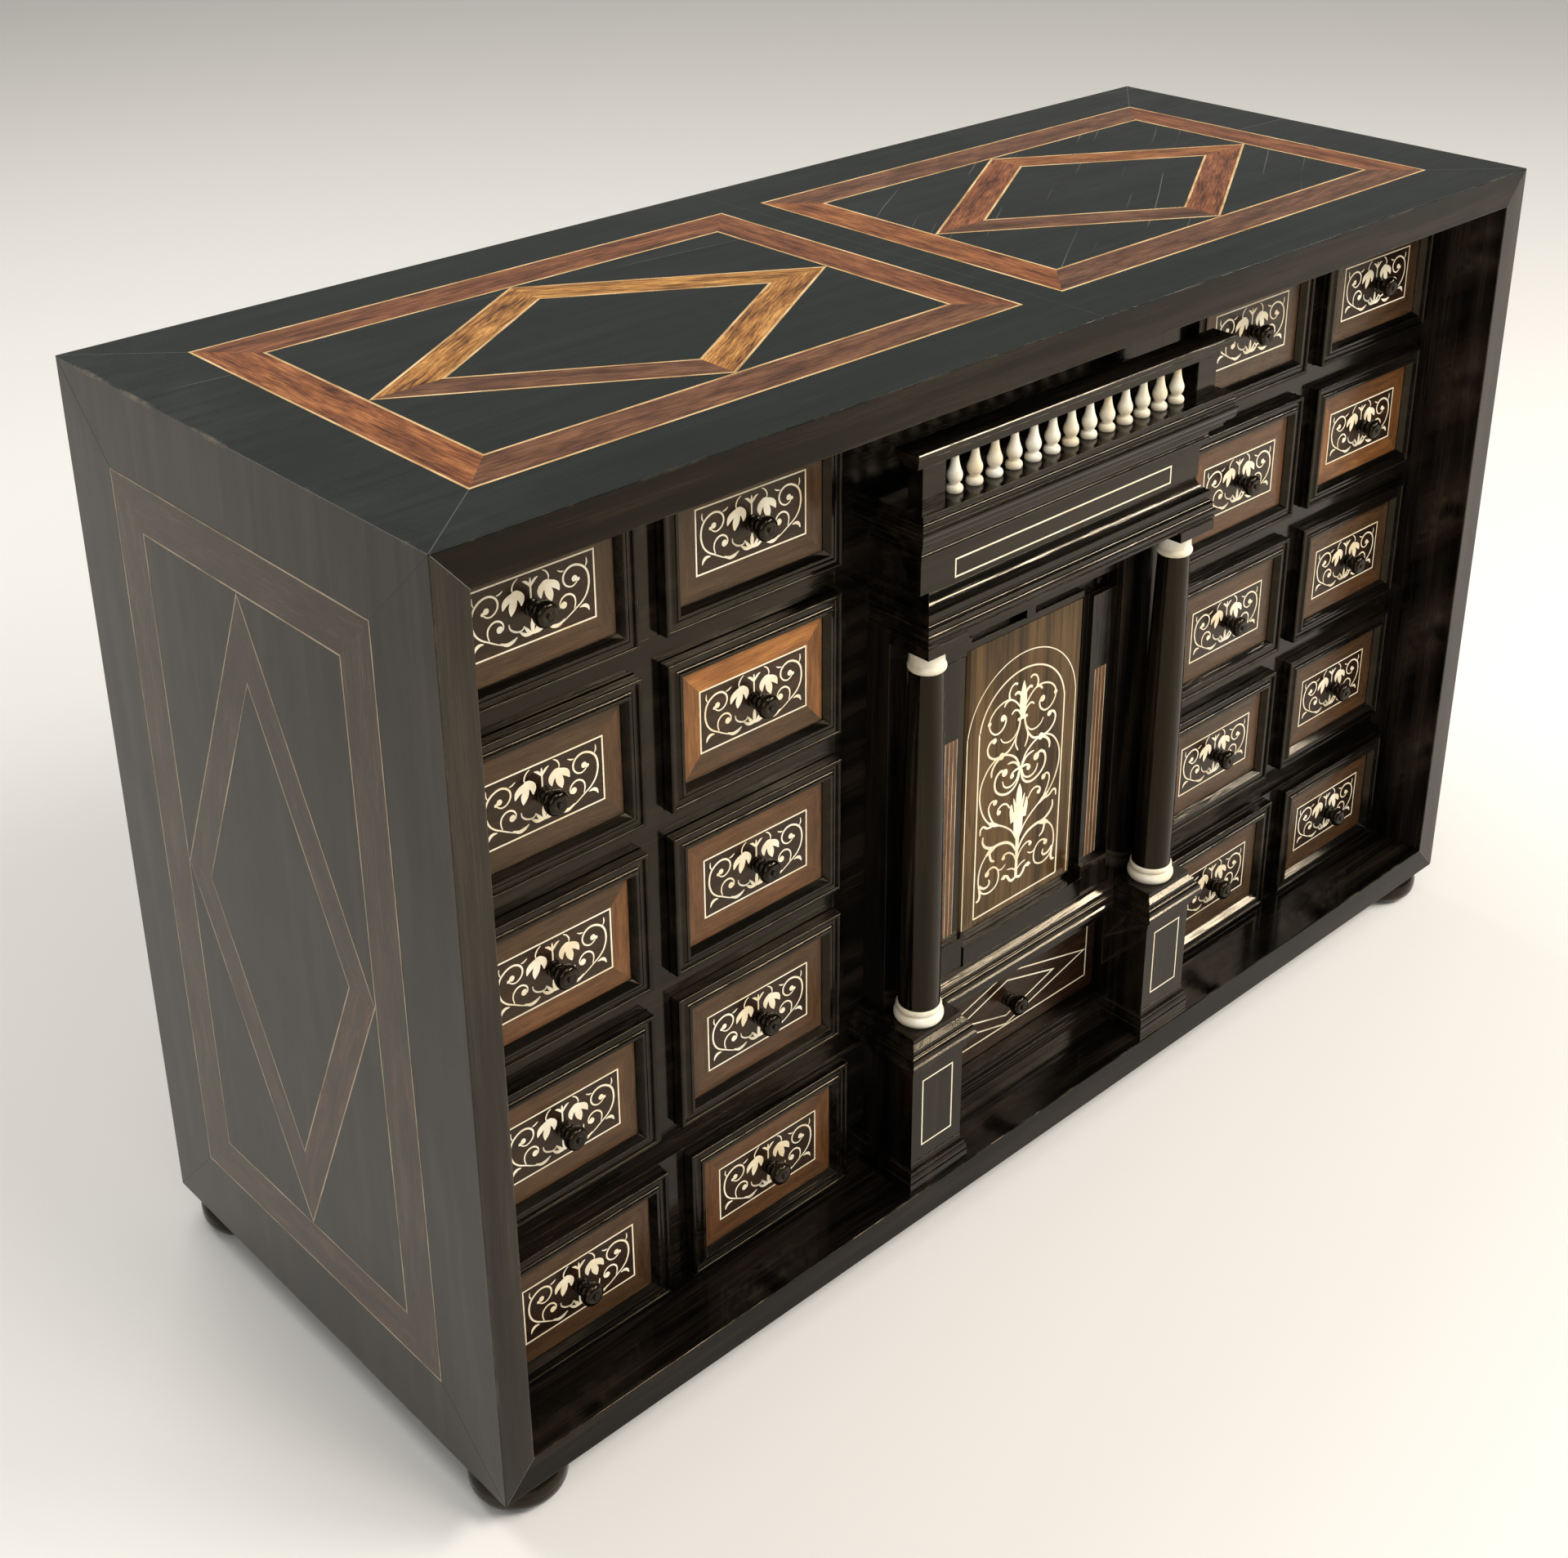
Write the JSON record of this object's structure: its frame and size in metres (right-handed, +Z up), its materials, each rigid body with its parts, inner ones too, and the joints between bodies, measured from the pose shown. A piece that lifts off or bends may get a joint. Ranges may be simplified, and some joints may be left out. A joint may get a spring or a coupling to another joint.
{
  "type": "table cabinet",
  "caption": "Ebony-veneered table cabinet with bone-inlaid drawers in banks beside a small columned portico with a central door.",
  "frame": {"origin": "middle of the rectangle round the case, on the surface that the feet stand on", "axes": "+X to the viewer's right, -Y towards the viewer, +Z up"},
  "size_m": [0.9, 0.347, 0.5835],
  "materials": {
    "ebony": "polished ebony veneer",
    "palisander": "polished palisander veneer and banding",
    "bone": "polished bone",
    "carcass_wood": "oiled softwood"
  },
  "bodies": {
    "cabinet": {"top_board": "ebony", "bottom_board": "ebony", "left_side": "ebony", "right_side": "ebony", "back_panel": "carcass_wood", "bun_feet": "ebony", "inner_partitions": "carcass_wood", "facade_rails": "ebony", "pedestals": "ebony", "plinth_mouldings": "ebony", "column_shafts": "ebony", "column_rings": "bone", "portico_frame": "ebony", "entablature": "ebony", "balusters": "bone", "balustrade_rail": "ebony", "door_niche": "carcass_wood"},
    "drawer_left_outer_1": {"drawer_front_left_outer_1": "ebony", "drawer_box_left_outer_1": "carcass_wood"},
    "drawer_left_outer_2": {"drawer_front_left_outer_2": "ebony", "drawer_box_left_outer_2": "carcass_wood"},
    "drawer_left_outer_3": {"drawer_front_left_outer_3": "ebony", "drawer_box_left_outer_3": "carcass_wood"},
    "drawer_left_outer_4": {"drawer_front_left_outer_4": "ebony", "drawer_box_left_outer_4": "carcass_wood"},
    "drawer_left_outer_5": {"drawer_front_left_outer_5": "ebony", "drawer_box_left_outer_5": "carcass_wood"},
    "drawer_left_inner_1": {"drawer_front_left_inner_1": "ebony", "drawer_box_left_inner_1": "carcass_wood"},
    "drawer_left_inner_2": {"drawer_front_left_inner_2": "ebony", "drawer_box_left_inner_2": "carcass_wood"},
    "drawer_left_inner_3": {"drawer_front_left_inner_3": "ebony", "drawer_box_left_inner_3": "carcass_wood"},
    "drawer_left_inner_4": {"drawer_front_left_inner_4": "ebony", "drawer_box_left_inner_4": "carcass_wood"},
    "drawer_left_inner_5": {"drawer_front_left_inner_5": "ebony", "drawer_box_left_inner_5": "carcass_wood"},
    "drawer_right_inner_1": {"drawer_front_right_inner_1": "ebony", "drawer_box_right_inner_1": "carcass_wood"},
    "drawer_right_inner_2": {"drawer_front_right_inner_2": "ebony", "drawer_box_right_inner_2": "carcass_wood"},
    "drawer_right_inner_3": {"drawer_front_right_inner_3": "ebony", "drawer_box_right_inner_3": "carcass_wood"},
    "drawer_right_inner_4": {"drawer_front_right_inner_4": "ebony", "drawer_box_right_inner_4": "carcass_wood"},
    "drawer_right_inner_5": {"drawer_front_right_inner_5": "ebony", "drawer_box_right_inner_5": "carcass_wood"},
    "drawer_right_outer_1": {"drawer_front_right_outer_1": "ebony", "drawer_box_right_outer_1": "carcass_wood"},
    "drawer_right_outer_2": {"drawer_front_right_outer_2": "ebony", "drawer_box_right_outer_2": "carcass_wood"},
    "drawer_right_outer_3": {"drawer_front_right_outer_3": "ebony", "drawer_box_right_outer_3": "carcass_wood"},
    "drawer_right_outer_4": {"drawer_front_right_outer_4": "ebony", "drawer_box_right_outer_4": "carcass_wood"},
    "drawer_right_outer_5": {"drawer_front_right_outer_5": "ebony", "drawer_box_right_outer_5": "carcass_wood"},
    "plinth_drawer": {"plinth_drawer_front": "palisander", "plinth_drawer_box": "carcass_wood"},
    "door": {"door": "palisander"}
  },
  "joints": [
    {"name": "drawer_left_outer_1_slide", "type": "slide", "parent": "cabinet", "child": "drawer_left_outer_1", "axis": [0, -1, 0], "range_m": [0, 0.2]},
    {"name": "drawer_left_outer_2_slide", "type": "slide", "parent": "cabinet", "child": "drawer_left_outer_2", "axis": [0, -1, 0], "range_m": [0, 0.2]},
    {"name": "drawer_left_outer_3_slide", "type": "slide", "parent": "cabinet", "child": "drawer_left_outer_3", "axis": [0, -1, 0], "range_m": [0, 0.2]},
    {"name": "drawer_left_outer_4_slide", "type": "slide", "parent": "cabinet", "child": "drawer_left_outer_4", "axis": [0, -1, 0], "range_m": [0, 0.2]},
    {"name": "drawer_left_outer_5_slide", "type": "slide", "parent": "cabinet", "child": "drawer_left_outer_5", "axis": [0, -1, 0], "range_m": [0, 0.2]},
    {"name": "drawer_left_inner_1_slide", "type": "slide", "parent": "cabinet", "child": "drawer_left_inner_1", "axis": [0, -1, 0], "range_m": [0, 0.2]},
    {"name": "drawer_left_inner_2_slide", "type": "slide", "parent": "cabinet", "child": "drawer_left_inner_2", "axis": [0, -1, 0], "range_m": [0, 0.2]},
    {"name": "drawer_left_inner_3_slide", "type": "slide", "parent": "cabinet", "child": "drawer_left_inner_3", "axis": [0, -1, 0], "range_m": [0, 0.2]},
    {"name": "drawer_left_inner_4_slide", "type": "slide", "parent": "cabinet", "child": "drawer_left_inner_4", "axis": [0, -1, 0], "range_m": [0, 0.2]},
    {"name": "drawer_left_inner_5_slide", "type": "slide", "parent": "cabinet", "child": "drawer_left_inner_5", "axis": [0, -1, 0], "range_m": [0, 0.2]},
    {"name": "drawer_right_inner_1_slide", "type": "slide", "parent": "cabinet", "child": "drawer_right_inner_1", "axis": [0, -1, 0], "range_m": [0, 0.2]},
    {"name": "drawer_right_inner_2_slide", "type": "slide", "parent": "cabinet", "child": "drawer_right_inner_2", "axis": [0, -1, 0], "range_m": [0, 0.2]},
    {"name": "drawer_right_inner_3_slide", "type": "slide", "parent": "cabinet", "child": "drawer_right_inner_3", "axis": [0, -1, 0], "range_m": [0, 0.2]},
    {"name": "drawer_right_inner_4_slide", "type": "slide", "parent": "cabinet", "child": "drawer_right_inner_4", "axis": [0, -1, 0], "range_m": [0, 0.2]},
    {"name": "drawer_right_inner_5_slide", "type": "slide", "parent": "cabinet", "child": "drawer_right_inner_5", "axis": [0, -1, 0], "range_m": [0, 0.2]},
    {"name": "drawer_right_outer_1_slide", "type": "slide", "parent": "cabinet", "child": "drawer_right_outer_1", "axis": [0, -1, 0], "range_m": [0, 0.2]},
    {"name": "drawer_right_outer_2_slide", "type": "slide", "parent": "cabinet", "child": "drawer_right_outer_2", "axis": [0, -1, 0], "range_m": [0, 0.2]},
    {"name": "drawer_right_outer_3_slide", "type": "slide", "parent": "cabinet", "child": "drawer_right_outer_3", "axis": [0, -1, 0], "range_m": [0, 0.2]},
    {"name": "drawer_right_outer_4_slide", "type": "slide", "parent": "cabinet", "child": "drawer_right_outer_4", "axis": [0, -1, 0], "range_m": [0, 0.2]},
    {"name": "drawer_right_outer_5_slide", "type": "slide", "parent": "cabinet", "child": "drawer_right_outer_5", "axis": [0, -1, 0], "range_m": [0, 0.2]},
    {"name": "plinth_drawer_slide", "type": "slide", "parent": "cabinet", "child": "plinth_drawer", "axis": [0, -1, 0], "range_m": [0, 0.2]},
    {"name": "door_hinge", "type": "hinge", "parent": "cabinet", "child": "door", "pos_m": [-0.0495, -0.1237, 0.1745], "axis": [0, 0, -1], "range_deg": [0, 100]}
  ]
}
